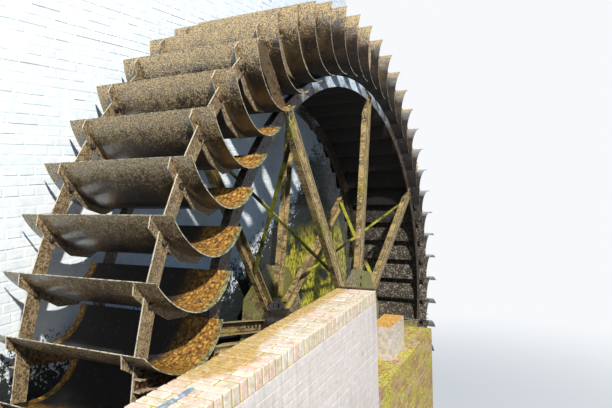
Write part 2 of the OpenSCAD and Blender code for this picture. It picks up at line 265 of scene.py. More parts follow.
def flat_face(corner, along, up):
    """Maps distances along, up and out of a wall's face to points in space."""
    corner, along, up = (np.array(v, float) for v in (corner, along, up))
    out = np.cross(along, up)
    return lambda u, v, h: corner + u[..., None] * along + v[..., None] * up + h[..., None] * out


def breast_face(u, v, h):
    """Maps distances across, down and out of the curved breast: down follows the circle of the
    race, and out is towards the shaft."""
    angle = math.pi + math.asin(SILL_DROP / RACE_R) + v / RACE_R
    reach = RACE_R - h
    return np.stack([reach * np.cos(angle), RACE_HALF - u, reach * np.sin(angle)], -1)


def brick_skin(name, lay, size, finish, holes=(), relief=1.0):
    """Bricks over a face. Each is a low slab with sloped edges: four corners on the wall and four
    set in by the chamfer at the brick's own height, with a little random lean. Relief below 1 is
    for faces where coats of limewash have filled the joints."""
    rects = bond(size[0], size[1], holes)
    rects[:, 0::2] += JOINT / 2
    rects[:, 1::2] -= JOINT / 2
    count = len(rects)
    u = rects[:, [0, 1, 1, 0]]
    v = rects[:, [2, 2, 3, 3]]
    inset = CHAMFER * np.array([1, -1, -1, 1]) * rng.uniform(*CHAMFER_SPREAD, (count, 1))
    lift = CHAMFER * np.array([1, 1, -1, -1]) * rng.uniform(*CHAMFER_SPREAD, (count, 1))
    height = PROUD + rng.uniform(*HEIGHT_SPREAD, (count, 1)) + rng.uniform(-LEAN, LEAN, (count, 4))
    height *= relief * rng.uniform(LEAST_HEIGHT, 1.0, (count, 1))
    points = np.concatenate([lay(u, v, np.zeros_like(u)), lay(u + inset, v + lift, height)], 1)
    quad = np.array([[4, 5, 6, 7], [0, 1, 5, 4], [1, 2, 6, 5], [2, 3, 7, 6], [3, 0, 4, 7]])
    faces = (quad[None] + SLAB_POINTS * np.arange(count)[:, None, None]).reshape(-1, 4)
    tone = np.repeat(rng.uniform(0, 1, count), SLAB_POINTS)
    return mesh_piece(name, points.reshape(-1, 3), [faces], MATERIALS[finish], "mill", tone)


def chamfered_boxes(low, high, cut):
    """Blocks with all twelve edges cut: each corner gives three points, one on each face."""
    signs = np.array([[x, y, z] for x in (0, 1) for y in (0, 1) for z in (0, 1)])
    points = []
    for axis in range(3):
        inward = np.where(signs == 0, 1, -1) * (np.arange(3) != axis)
        points.append(np.where(signs[None] == 0, low[:, None], high[:, None]) + cut * inward[None])
    points = np.stack(points, 2)
    corner = {tuple(sign): i for i, sign in enumerate(signs.tolist())}

    def vertex(sign, axis):
        return corner[tuple(sign)] * 3 + axis

    def sign_of(axis, side, vb, vc):
        sign = [0, 0, 0]
        sign[axis], sign[(axis + 1) % 3], sign[(axis + 2) % 3] = side, vb, vc
        return sign

    quads = []
    for axis in range(3):
        for side in (0, 1):
            around = ((0, 0), (1, 0), (1, 1), (0, 1))
            ring = [vertex(sign_of(axis, side, *ends), axis) for ends in around]
            quads.append(ring if side else ring[::-1])
        b, c = (axis + 1) % 3, (axis + 2) % 3
        for vb, vc in ((0, 0), (0, 1), (1, 0), (1, 1)):
            start, end = sign_of(axis, 0, vb, vc), sign_of(axis, 1, vb, vc)
            ring = [vertex(start, b), vertex(end, b), vertex(end, c), vertex(start, c)]
            quads.append(ring if vb == vc else ring[::-1])
    triangles = []
    for sign in signs.tolist():
        ring = [vertex(sign, 0), vertex(sign, 1), vertex(sign, 2)]
        triangles.append(ring if sum(sign) % 2 else ring[::-1])
    starts = (np.arange(len(low)) * BLOCK_POINTS)[:, None, None]
    faces = [(np.array(part)[None] + starts).reshape(-1, len(part[0])) for part in (quads, triangles)]
    return points.reshape(-1, 3), faces


# Shader helpers

def put(tree, kind, inputs=None, **settings):
    """Adds a node, sets its properties and sets or links its inputs by name or number."""
    node = tree.nodes.new(kind)
    for key, value in settings.items():
        setattr(node, key, value)
    for key, value in (inputs or {}).items():
        socket = node.inputs[key]
        if isinstance(value, bpy.types.NodeSocket):
            tree.links.new(value, socket)
        else:
            socket.default_value = value
    return node


def calc(tree, operation, *values):
    """One step of arithmetic on numbers or sockets."""
    return put(tree, "ShaderNodeMath", dict(enumerate(values)), operation=operation).outputs[0]


def between(tree, value, low, high):
    """0 below low and 1 above high, with a smooth change."""
    node = put(tree, "ShaderNodeMapRange", {0: value, 1: low, 2: high}, interpolation_type="SMOOTHSTEP")
    return node.outputs[0]


def blend_colour(tree, mask, first, second):
    """The first colour where the mask is 0 and the second where it is 1."""
    node = put(tree, "ShaderNodeMix", {0: mask, 6: first, 7: second}, data_type="RGBA")
    return node.outputs[2]


def tint(tree, colour, mask, share, over):
    """Lays another colour over a colour, by a share of the mask."""
    return blend_colour(tree, calc(tree, "MULTIPLY", mask, share), colour, over)


def noise(tree, vector, scale, detail=4.0, rough=0.55):
    """Cloudy noise from 0 to 1."""
    inputs = {"Vector": vector, "Scale": scale, "Detail": detail, "Roughness": rough}
    return put(tree, "ShaderNodeTexNoise", inputs).outputs["Fac"]


def tufts(tree, vector, scale, low=0.36, high=0.62):
    """0 in the dark gaps of moss and 1 on its bright tips."""
    return between(tree, noise(tree, vector, scale, 4.0, 0.7), low, high)


def bell(tree, value, middle, width):
    """A bell curve: e to the power of minus the square of the way from the middle, in widths."""
    shift = calc(tree, "DIVIDE", calc(tree, "SUBTRACT", value, middle), width)
    square = calc(tree, "MULTIPLY", shift, shift)
    return calc(tree, "POWER", EULER, calc(tree, "MULTIPLY", square, -1.0))


def stretched(tree, vector, scale):
    """Coordinates scaled by axis: a scale below 1 draws a pattern out along that axis."""
    return put(tree, "ShaderNodeMapping", {"Vector": vector, "Scale": scale}).outputs[0]


def axes_of(tree, vector):
    """The X, Y and Z of a vector."""
    return put(tree, "ShaderNodeSeparateXYZ", {0: vector}).outputs


def group(name, inputs, outputs):
    """An empty shader group with its sockets made, and its two end nodes."""
    tree = bpy.data.node_groups.new(name, "ShaderNodeTree")
    for label, kind, value in inputs:
        socket = tree.interface.new_socket(label, in_out="INPUT", socket_type="NodeSocket" + kind)
        if value is not None:
            socket.default_value = value
    for label in outputs:
        tree.interface.new_socket(label, in_out="OUTPUT", socket_type="NodeSocketFloat")
    return tree, tree.nodes.new("NodeGroupInput").outputs, tree.nodes.new("NodeGroupOutput").inputs


def place(tree, shared, **inputs):
    """Places a shared group in a material, with its inputs given by name."""
    return put(tree, "ShaderNodeGroup", inputs, node_tree=shared).outputs


# Shared effects

def make_patches():
    """Cloudy patches: noise with a soft threshold."""
    tree, given, result = group("patches", [("Vector", "Vector", None), ("Scale", "Float", 3.0),
                                            ("Low", "Float", 0.45), ("High", "Float", 0.6)], ["Mask"])
    cloud = noise(tree, given["Vector"], given["Scale"], 6.0, 0.62)
    tree.links.new(between(tree, cloud, given["Low"], given["High"]), result["Mask"])
    return tree


def make_grains():
    """Sand-like grains in clumps: fine noise over slower noise, cut at a level that lets the given
    amount of it stand out."""
    tree, given, result = group("grains", [("Vector", "Vector", None), ("Scale", "Float", 90.0),
                                           ("Amount", "Float", 0.5)], ["Mask", "Height"])
    fine = noise(tree, given["Vector"], given["Scale"], 3.0, 0.65)
    clump = noise(tree, given["Vector"], calc(tree, "MULTIPLY", given["Scale"], 0.3), 4.0, 0.6)
    both = calc(tree, "MULTIPLY_ADD", clump, 0.45, fine)
    level = calc(tree, "MULTIPLY_ADD", given["Amount"], -0.55, 1.0)
    over = calc(tree, "SUBTRACT", both, level)
    tree.links.new(between(tree, over, -0.05, 0.05), result["Mask"])
    tree.links.new(both, result["Height"])
    return tree


def make_streaks():
    """Runs of dirty water: noise drawn out along Z, and broken up by slower noise."""
    tree, given, result = group("streaks", [("Vector", "Vector", None), ("Scale", "Float", 12.0),
                                            ("Amount", "Float", 0.5)], ["Mask"])
    drawn = noise(tree, stretched(tree, given["Vector"], (1, 1, 0.06)), given["Scale"], 5.0, 0.7)
    broken = noise(tree, given["Vector"], 1.7, 4.0)
    both = calc(tree, "ADD", drawn, calc(tree, "MULTIPLY", broken, 0.6))
    level = calc(tree, "MULTIPLY_ADD", given["Amount"], -0.5, 1.05)
    tree.links.new(between(tree, calc(tree, "SUBTRACT", both, level), -0.08, 0.12), result["Mask"])
    return tree


def make_wheel_place():
    """Where a point of the wheel lies: its radius, its distance from the nearer side of a sheet,
    how much its face looks the way the rim turns and along the shaft, and how far it lies beside
    the middle line of the nearest spoke."""
    tree, given, result = group("wheel_place", [("Vector", "Vector", None), ("Normal", "Vector", None)],
                                ["Radius", "Inside", "Leading", "Sideways", "Across"])
    axes = axes_of(tree, given["Vector"])
    flat = put(tree, "ShaderNodeCombineXYZ", {0: axes[0], 2: axes[2]}).outputs[0]
    radius = put(tree, "ShaderNodeVectorMath", {0: flat}, operation="LENGTH").outputs["Value"]
    around = put(tree, "ShaderNodeCombineXYZ", {0: calc(tree, "MULTIPLY", axes[2], -1.0), 2: axes[0]})
    around = put(tree, "ShaderNodeVectorMath", {0: around.outputs[0]}, operation="NORMALIZE").outputs[0]
    leading = put(tree, "ShaderNodeVectorMath", {0: around, 1: given["Normal"]}, operation="DOT_PRODUCT")
    turned = calc(tree, "SUBTRACT", calc(tree, "ARCTAN2", axes[2], axes[0]), FIRST_SPOKE)
    beside = calc(tree, "SINE", calc(tree, "WRAP", turned, math.pi / BAYS, -math.pi / BAYS))
    tree.links.new(radius, result["Radius"])
    tree.links.new(calc(tree, "SUBTRACT", WHEEL_HALF, calc(tree, "ABSOLUTE", axes[1])), result["Inside"])
    tree.links.new(leading.outputs["Value"], result["Leading"])
    tree.links.new(calc(tree, "ABSOLUTE", axes_of(tree, given["Normal"])[1]), result["Sideways"])
    tree.links.new(calc(tree, "MULTIPLY", beside, radius), result["Across"])
    return tree


PATCHES = make_patches()
GRAINS = make_grains()
STREAKS = make_streaks()
WHEEL_PLACE = make_wheel_place()


# Materials

def start(name):
    """A new material with its shader, and its object coordinates and normal to work from."""
    material = bpy.data.materials.new(name)
    material.use_nodes = True
    tree = material.node_tree
    tree.nodes.clear()
    shader = put(tree, "ShaderNodeBsdfPrincipled")
    output = put(tree, "ShaderNodeOutputMaterial")
    tree.links.new(shader.outputs[0], output.inputs[0])
    where = put(tree, "ShaderNodeTexCoord").outputs
    return material, tree, shader, where["Object"], where["Normal"]


def finish_shader(tree, shader, colour, roughness, height=None, strength=0.3, depth=0.004):
    """Links colour and roughness, and a height to a Bump node before the normal."""
    tree.links.new(colour, shader.inputs["Base Color"])
    if isinstance(roughness, bpy.types.NodeSocket):
        tree.links.new(roughness, shader.inputs["Roughness"])
    else:
        shader.inputs["Roughness"].default_value = roughness
    if height is not None:
        bump = put(tree, "ShaderNodeBump", {"Strength": strength, "Distance": depth, "Height": height})
        tree.links.new(bump.outputs[0], shader.inputs["Normal"])


def tone_of(tree):
    """The random number of each brick, which mesh_piece wrote at its points."""
    return put(tree, "ShaderNodeAttribute", attribute_name="tone").outputs["Fac"]


def white_brick():
    """White painted brick, its white tinted blue throughout as painted cool sky light, so that its shade
    reads blue. Black slime climbs to a line that humps where the wheel throws water, and yellow-green
    moss grows under it. The wall's outer face beyond the race stays clean."""
    material, tree, shader, spot, _ = start("white_brick")
    along, depth, rise = axes_of(tree, spot)
    lumps = noise(tree, spot, 16.0, 6.0, 0.6)
    paint = between(tree, lumps, 0.3, 0.7)
    # the blue in these whites is painted sky light: under the warm sun they read white, and in shade
    # they read blue
    colour = blend_colour(tree, paint, (0.68, 0.79, 0.92, 1), (0.81, 0.89, 0.98, 1))
    colour = tint(tree, colour, tone_of(tree), 0.3, (0.66, 0.75, 0.86, 1))
    stain = place(tree, STREAKS, Vector=spot, Scale=9.0, Amount=0.25)["Mask"]
    colour = tint(tree, colour, stain, 0.2, (0.50, 0.57, 0.62, 1))
    # the line: a bell curve over the place of the spray, on a wavy base that falls away upstream
    hump = bell(tree, along, SPRAY_X, SPRAY_WIDTH)
    base = calc(tree, "MULTIPLY_ADD", between(tree, along, -0.9, 0.9), 0.6, 0.7)
    wavy = calc(tree, "MULTIPLY_ADD", noise(tree, spot, 3.0, 6.0, 0.65), 0.7, -0.35)
    line = calc(tree, "ADD", calc(tree, "MULTIPLY_ADD", hump, SPRAY_HEIGHT, base), wavy)
    under = calc(tree, "SUBTRACT", line, rise)
    race_side = calc(tree, "SUBTRACT", 1.0, between(tree, depth, 0.9, 1.0))
    wet = calc(tree, "MULTIPLY", between(tree, under, -0.12, 0.6), race_side)
    amount = calc(tree, "MULTIPLY_ADD", wet, 0.80, 0.18)
    specks = place(tree, GRAINS, Vector=spot, Scale=40.0, Amount=amount)["Mask"]
    slime = calc(tree, "MULTIPLY", specks, between(tree, wet, 0.02, 0.25))
    colour = blend_colour(tree, slime, colour, (0.016, 0.024, 0.027, 1))
    low = calc(tree, "MULTIPLY", between(tree, calc(tree, "SUBTRACT", 1.0, rise), 0.0, 0.4), race_side)
    low = calc(tree, "MULTIPLY", low, between(tree, along, 0.3, 0.9))
    moss = place(tree, PATCHES, Vector=spot, Scale=2.6, Low=0.38, High=0.48)["Mask"]
    moss = calc(tree, "MULTIPLY", moss, low)
    tuft = tufts(tree, stretched(tree, spot, (1, 1, 0.35)), 38.0, 0.38, 0.60)
    green = blend_colour(tree, tuft, (0.06, 0.06, 0.008, 1), (0.66, 0.62, 0.06, 1))
    colour = blend_colour(tree, moss, colour, green)
    roughness = calc(tree, "MULTIPLY_ADD", wet, -0.35, 0.8)
    finish_shader(tree, shader, colour, roughness, lumps, strength=0.8, depth=0.006)
    return material


def wet_masonry():
    """Old brick that is always wet: nearly black, with green moss in patches."""
    material, tree, shader, spot, _ = start("wet_masonry")
    fine = noise(tree, spot, 22.0, 8.0, 0.65)
    lighter = between(tree, fine, 0.35, 0.65)
    colour = blend_colour(tree, lighter, (0.010, 0.011, 0.010, 1), (0.07, 0.06, 0.045, 1))
    colour = tint(tree, colour, tone_of(tree), 0.6, (0.08, 0.05, 0.035, 1))
    moss = place(tree, PATCHES, Vector=spot, Scale=2.4, Low=0.46, High=0.6)["Mask"]
    tuft = tufts(tree, spot, 60.0, 0.35, 0.65)
    green = blend_colour(tree, tuft, (0.03, 0.035, 0.006, 1), (0.20, 0.20, 0.025, 1))
    colour = tint(tree, colour, moss, 0.85, green)
    roughness = between(tree, fine, 0.15, 0.9)
    finish_shader(tree, shader, colour, roughness, fine, strength=0.6, depth=0.005)
    shader.inputs["Coat Weight"].default_value = 0.3
    return material


def painted_brick():
    """Cool white limewash with faint runs of dirty water and a few spots of yellow-green, worn
    thinner low down."""
    material, tree, shader, spot, _ = start("painted_brick")
    fine = noise(tree, spot, 24.0, 8.0, 0.6)
    wash = between(tree, fine, 0.3, 0.7)
    colour = blend_colour(tree, wash, (0.64, 0.61, 0.63, 1), (0.77, 0.75, 0.77, 1))
    colour = tint(tree, colour, tone_of(tree), 0.3, (0.66, 0.54, 0.52, 1))
    runs = place(tree, STREAKS, Vector=spot, Scale=22.0, Amount=0.42)["Mask"]
    colour = tint(tree, colour, runs, 0.35, (0.34, 0.34, 0.34, 1))
    growth = place(tree, PATCHES, Vector=spot, Scale=13.0, Low=0.60, High=0.70)["Mask"]
    colour = tint(tree, colour, growth, 0.7, (0.40, 0.38, 0.16, 1))
    drop = calc(tree, "SUBTRACT", noise(tree, spot, 1.4, 5.0), axes_of(tree, spot)[2])
    worn = place(tree, PATCHES, Vector=spot, Scale=7.0, Low=0.42, High=0.56)["Mask"]
    colour = tint(tree, colour, worn, between(tree, drop, 1.2, 3.6), (0.20, 0.17, 0.10, 1))
    finish_shader(tree, shader, colour, 0.85, fine, strength=0.4, depth=0.003)
    return material


def mossy_brick():
    """Pink and golden brick of the low pier. Bright yellow-green moss lies over its upper part and
    thins out lower down."""
    material, tree, shader, spot, _ = start("mossy_brick")
    fine = noise(tree, spot, 30.0, 8.0, 0.65)
    pink = between(tree, tone_of(tree), 0.3, 0.8)
    colour = blend_colour(tree, pink, (0.42, 0.25, 0.12, 1), (0.55, 0.42, 0.30, 1))
    colour = blend_colour(tree, between(tree, fine, 0.48, 0.66), colour, (0.20, 0.13, 0.05, 1))
    moss = place(tree, PATCHES, Vector=spot, Scale=5.0, Low=0.42, High=0.56)["Mask"]
    moss = calc(tree, "MULTIPLY", moss, between(tree, axes_of(tree, spot)[2], -1.6, -0.5))
    green = blend_colour(tree, tufts(tree, spot, 50.0), (0.20, 0.19, 0.02, 1), (0.66, 0.60, 0.12, 1))
    colour = tint(tree, colour, moss, 0.9, green)
    finish_shader(tree, shader, colour, 0.85, fine, strength=0.6, depth=0.004)
    return material


def mossy_top(tree, spot):
    """Where moss covers the coping: a strip along the race, with one wide bulge near its start."""
    along, depth, _ = axes_of(tree, spot)
    bulge = bell(tree, along, BULGE_X, BULGE_WIDTH)
    ragged = calc(tree, "MULTIPLY_ADD", noise(tree, spot, 14.0, 6.0, 0.7), 0.14, -0.07)
    edge = calc(tree, "ADD", calc(tree, "MULTIPLY_ADD", bulge, BULGE_DEPTH, depth), ragged)
    start_of_moss = between(tree, along, -3.02, -2.84)
    strip = calc(tree, "MULTIPLY", between(tree, edge, -0.82, -0.75), start_of_moss)
    cover = between(tree, noise(tree, spot, 30.0, 5.0, 0.7), 0.38, 0.52)
    return calc(tree, "MULTIPLY", strip, calc(tree, "MULTIPLY_ADD", cover, 0.4, 0.6))


def coping_brick():
    """Cream, pale and pink bricks on edge. Golden moss grows on them along the race."""
    material, tree, shader, spot, _ = start("coping_brick")
    tone = tone_of(tree)
    fine = noise(tree, spot, 40.0, 8.0, 0.65)
    upstream = between(tree, axes_of(tree, spot)[0], -2.2, -3.2)
    pink = calc(tree, "ADD", tone, calc(tree, "MULTIPLY", upstream, 0.2))
    pale = between(tree, tone, 0.15, 0.5)
    colour = blend_colour(tree, pale, (0.62, 0.55, 0.46, 1), (0.72, 0.66, 0.62, 1))
    colour = blend_colour(tree, between(tree, pink, 0.55, 0.85), colour, (0.70, 0.50, 0.44, 1))
    colour = blend_colour(tree, between(tree, fine, 0.45, 0.7), colour, (0.80, 0.78, 0.75, 1))
    dirt = place(tree, PATCHES, Vector=spot, Scale=18.0, Low=0.48, High=0.62)["Mask"]
    colour = tint(tree, colour, dirt, 0.5, (0.40, 0.33, 0.20, 1))
    gold = blend_colour(tree, tufts(tree, spot, 60.0), (0.30, 0.19, 0.05, 1), (0.60, 0.43, 0.16, 1))
    colour = blend_colour(tree, mossy_top(tree, spot), colour, gold)
    finish_shader(tree, shader, colour, 0.85, fine, strength=0.6, depth=0.004)
    return material


def mossy_mortar():
    """Mortar between the coping bricks, grown over with yellow-green moss."""
    material, tree, shader, spot, _ = start("mossy_mortar")
    patch = place(tree, PATCHES, Vector=spot, Scale=11.0, Low=0.34, High=0.5)["Mask"]
    colour = blend_colour(tree, patch, (0.34, 0.30, 0.20, 1), (0.40, 0.37, 0.05, 1))
    colour = blend_colour(tree, mossy_top(tree, spot), colour, (0.40, 0.27, 0.07, 1))
    finish_shader(tree, shader, colour, 0.95, noise(tree, spot, 90.0), strength=0.8, depth=0.004)
    return material


def grainy(name, dark, pale, scale, amount, edge=None, coat=0.0, rust=None, moss=None):
    """Weathered metal: pale grains on a dark ground. Edges of plates, which face along the rim or
    the spoke and not along the shaft, may be worn paler. Rust or moss may lie over it in patches."""
    material, tree, shader, spot, normal = start(name)
    grains = place(tree, GRAINS, Vector=spot, Scale=scale, Amount=amount)
    colour = blend_colour(tree, grains["Mask"], dark, pale)
    if rust:
        patch = place(tree, PATCHES, Vector=spot, Scale=5.0, Low=0.47, High=0.62)["Mask"]
        colour = tint(tree, colour, patch, 0.5, rust)
    if moss:
        patch = place(tree, PATCHES, Vector=spot, Scale=2.3, Low=0.43, High=0.55)["Mask"]
        green = blend_colour(tree, tufts(tree, spot, 70.0, 0.3, 0.6), (0.08, 0.09, 0.01, 1), moss)
        colour = blend_colour(tree, patch, colour, green)
    if edge:
        sideways = calc(tree, "ABSOLUTE", axes_of(tree, normal)[1])
        worn = calc(tree, "SUBTRACT", 1.0, between(tree, sideways, 0.4, 0.6))
        worn = calc(tree, "MULTIPLY", worn, between(tree, noise(tree, spot, 30.0), 0.3, 0.5))
        colour = tint(tree, colour, worn, 0.8, edge)
    shader.inputs["Coat Weight"].default_value = coat
    shader.inputs["Coat Roughness"].default_value = 0.3
    roughness = calc(tree, "MULTIPLY_ADD", grains["Mask"], 0.35, 0.45)
    finish_shader(tree, shader, colour, roughness, grains["Height"], strength=0.5, depth=0.003)
    return material


def bucket_steel():
    """Wet rusty sheet. Its outer curve is sandy near the lip, with pale grains on brown, and smooth dark
    brown near the foot, where painted shade makes it nearly black high in the wheel and painted sunlight
    lies on pale flecks of drops lower down. In the hollow, golden rust with a green-grey rim of algae
    lies along the near side and the lip, and the deep part beyond is wet, with painted shade that makes
    it nearly black. The cut edges are paler."""
    material, tree, shader, spot, normal = start("bucket_steel")
    here = place(tree, WHEEL_PLACE, Vector=spot, Normal=normal)
    _, depth, rise = axes_of(tree, spot)
    cloud = noise(tree, spot, 5.0, 7.0, 0.62)
    out = between(tree, calc(tree, "MULTIPLY_ADD", cloud, 0.30, here["Radius"]), 2.93, 3.24)
    dry = between(tree, rise, -0.2, 2.2)
    amount = calc(tree, "MULTIPLY_ADD", out, calc(tree, "MULTIPLY_ADD", dry, 0.26, 0.26), 0.10)
    grains = place(tree, GRAINS, Vector=spot, Scale=110.0, Amount=amount)
    brown = between(tree, cloud, 0.42, 0.62)
    ground = blend_colour(tree, brown, (0.018, 0.013, 0.012, 1), (0.070, 0.047, 0.027, 1))
    # seen from inside the wheel: painted shade, nearly black, high up, and lower down pale flecks of
    # drops with painted sunlight on them
    drops = place(tree, GRAINS, Vector=spot, Scale=55.0, Amount=0.36)["Mask"]
    flecked = blend_colour(tree, drops, (0.032, 0.027, 0.023, 1), (0.32, 0.29, 0.25, 1))
    foot = blend_colour(tree, between(tree, rise, 0.4, 1.3), flecked, (0.008, 0.007, 0.008, 1))
    ground = blend_colour(tree, between(tree, here["Radius"], 2.80, 2.60), ground, foot)
    bright = between(tree, noise(tree, spot, 140.0, 2.0), 0.35, 0.65)
    sand = blend_colour(tree, bright, (0.20, 0.135, 0.065, 1), (0.68, 0.54, 0.32, 1))
    outer = blend_colour(tree, grains["Mask"], ground, sand)
    # the hollow, by the distance from its sides or its lip, whichever is nearer: rust and algae near
    # them, and painted shade beyond, where the sun does not reach; on the far side the painted shade
    # comes much nearer to the side
    far_side_shade_reach = calc(tree, "MULTIPLY_ADD", between(tree, depth, -0.05, 0.05), 4.0, 1.0)
    inside = calc(tree, "MULTIPLY", here["Inside"], far_side_shade_reach)
    margin = calc(tree, "MINIMUM", inside, calc(tree, "SUBTRACT", WHEEL_R, here["Radius"]))
    wavy = calc(tree, "ADD", margin, calc(tree, "MULTIPLY_ADD", cloud, 0.22, -0.11))
    fleck = noise(tree, spot, 48.0, 5.0, 0.7)
    rust = between(tree, fleck, 0.38, 0.52)
    gold = blend_colour(tree, rust, (0.040, 0.017, 0.005, 1), (0.25, 0.12, 0.018, 1))
    gold = blend_colour(tree, between(tree, fleck, 0.52, 0.64), gold, (0.58, 0.36, 0.07, 1))
    slimy = between(tree, fleck, 0.4, 0.6)
    algae = blend_colour(tree, slimy, (0.06, 0.06, 0.02, 1), (0.26, 0.25, 0.11, 1))
    specks = place(tree, GRAINS, Vector=spot, Scale=60.0, Amount=0.2)["Mask"]
    deep = blend_colour(tree, specks, (0.005, 0.0045, 0.006, 1), (0.075, 0.042, 0.030, 1))
    edge = calc(tree, "ADD", margin, calc(tree, "MULTIPLY", cloud, 0.05))
    inner = blend_colour(tree, between(tree, edge, 0.04, 0.065), algae, gold)
    # the deep part: painted shade, nearly black, beyond the sun's reach
    inner = blend_colour(tree, between(tree, wavy, 0.20, 0.34), inner, deep)
    colour = blend_colour(tree, between(tree, here["Leading"], -0.05, 0.05), inner, outer)
    side = between(tree, here["Sideways"], 0.6, 0.8)
    tip = between(tree, here["Radius"], WHEEL_R - 0.003, WHEEL_R - 0.001)
    bare = between(tree, fleck, 0.42, 0.58)
    cut = blend_colour(tree, bare, (0.12, 0.10, 0.06, 1), (0.48, 0.45, 0.34, 1))
    colour = blend_colour(tree, calc(tree, "MAXIMUM", side, tip), colour, cut)
    wet = calc(tree, "SUBTRACT", 1.0, grains["Mask"])
    wet = calc(tree, "MULTIPLY", wet, between(tree, here["Radius"], 2.60, 2.80))
    tree.links.new(wet, shader.inputs["Coat Weight"])
    shader.inputs["Coat Roughness"].default_value = 0.20
    shader.inputs["Coat IOR"].default_value = 1.9
    roughness = calc(tree, "MULTIPLY_ADD", wet, -0.52, 0.8)
    finish_shader(tree, shader, colour, roughness, grains["Height"], strength=0.9, depth=0.005)
    return material


def spoke_steel():
    """Golden-brown spokes: rust and dried moss drawn out along the spoke, painted shade in bands along
    both sides of the web with a painted highlight along its edges, and green moss in places."""
    material, tree, shader, spot, normal = start("spoke_steel")
    here = place(tree, WHEEL_PLACE, Vector=spot, Normal=normal)
    line = calc(tree, "MULTIPLY", here["Across"], 40.0)
    run = calc(tree, "MULTIPLY", here["Radius"], 5.0)
    lengthwise = put(tree, "ShaderNodeCombineXYZ", {0: run, 1: line, 2: axes_of(tree, spot)[1]})
    drawn = between(tree, noise(tree, lengthwise.outputs[0], 1.6, 6.0, 0.65), 0.40, 0.62)
    colour = blend_colour(tree, drawn, (0.075, 0.048, 0.020, 1), (0.42, 0.30, 0.11, 1))
    grains = place(tree, GRAINS, Vector=spot, Scale=60.0, Amount=0.35)
    colour = tint(tree, colour, grains["Mask"], 0.7, (0.60, 0.52, 0.34, 1))
    # painted shade in bands beside the flanges and a painted highlight along the rims, only on faces
    # that look along the shaft
    beside = calc(tree, "ABSOLUTE", here["Across"])
    web = between(tree, here["Sideways"], 0.4, 0.6)
    painted_web_shade = calc(tree, "MULTIPLY", between(tree, beside, 0.034, 0.044), web)
    colour = tint(tree, colour, painted_web_shade, 0.75, (0.045, 0.032, 0.018, 1))
    # rim: a pale painted highlight along the edges of the web
    rim = calc(tree, "MULTIPLY", between(tree, beside, 0.053, 0.056), web)
    colour = tint(tree, colour, rim, 0.8, (0.58, 0.50, 0.30, 1))
    patch = place(tree, PATCHES, Vector=spot, Scale=2.3, Low=0.54, High=0.64)["Mask"]
    green = blend_colour(tree, tufts(tree, spot, 60.0), (0.05, 0.05, 0.008, 1), (0.34, 0.32, 0.05, 1))
    colour = tint(tree, colour, patch, 0.8, green)
    finish_shader(tree, shader, colour, 0.7, grains["Height"], strength=0.5, depth=0.003)
    return material


def ring_steel():
    """Pale blue-grey high on the rings, partly paint and partly painted sky light, and dark brown lower
    down, bare rust darkened with painted shade.
    """
    material, tree, shader, spot, _ = start("ring_steel")
    grains = place(tree, GRAINS, Vector=spot, Scale=45.0, Amount=0.4)
    bare = blend_colour(tree, grains["Mask"], (0.018, 0.014, 0.013, 1), (0.12, 0.085, 0.055, 1))
    paint = blend_colour(tree, grains["Mask"], (0.52, 0.65, 0.84, 1), (0.74, 0.84, 0.94, 1))
    rise = calc(tree, "MULTIPLY_ADD", noise(tree, spot, 4.0, 6.0, 0.7), 1.2, axes_of(tree, spot)[2])
    # the pale blue top is painted sky light over paint, and the dark lower part is painted shade over
    # bare rust
    colour = blend_colour(tree, between(tree, rise, 2.75, 3.2), bare, paint)
    finish_shader(tree, shader, colour, 0.6, grains["Height"], strength=0.4, depth=0.002)
    return material


def limewashed_iron():
    """Limewash over iron. What looks up is bare orange rust, and rust runs down the sides."""
    material, tree, shader, spot, normal = start("limewashed_iron")
    fine = noise(tree, spot, 26.0, 8.0, 0.65)
    clean = between(tree, fine, 0.35, 0.65)
    wash = blend_colour(tree, clean, (0.52, 0.46, 0.40, 1), (0.72, 0.70, 0.68, 1))
    orange = between(tree, fine, 0.3, 0.6)
    rust = blend_colour(tree, orange, (0.32, 0.14, 0.03, 1), (0.74, 0.44, 0.12, 1))
    up = between(tree, axes_of(tree, normal)[2], 0.4, 0.7)
    runs = place(tree, STREAKS, Vector=spot, Scale=18.0, Amount=0.45)["Mask"]
    mask = calc(tree, "MAXIMUM", up, calc(tree, "MULTIPLY", runs, 0.7))
    colour = blend_colour(tree, mask, wash, rust)
    finish_shader(tree, shader, colour, 0.8, fine, strength=0.5, depth=0.003)
    return material


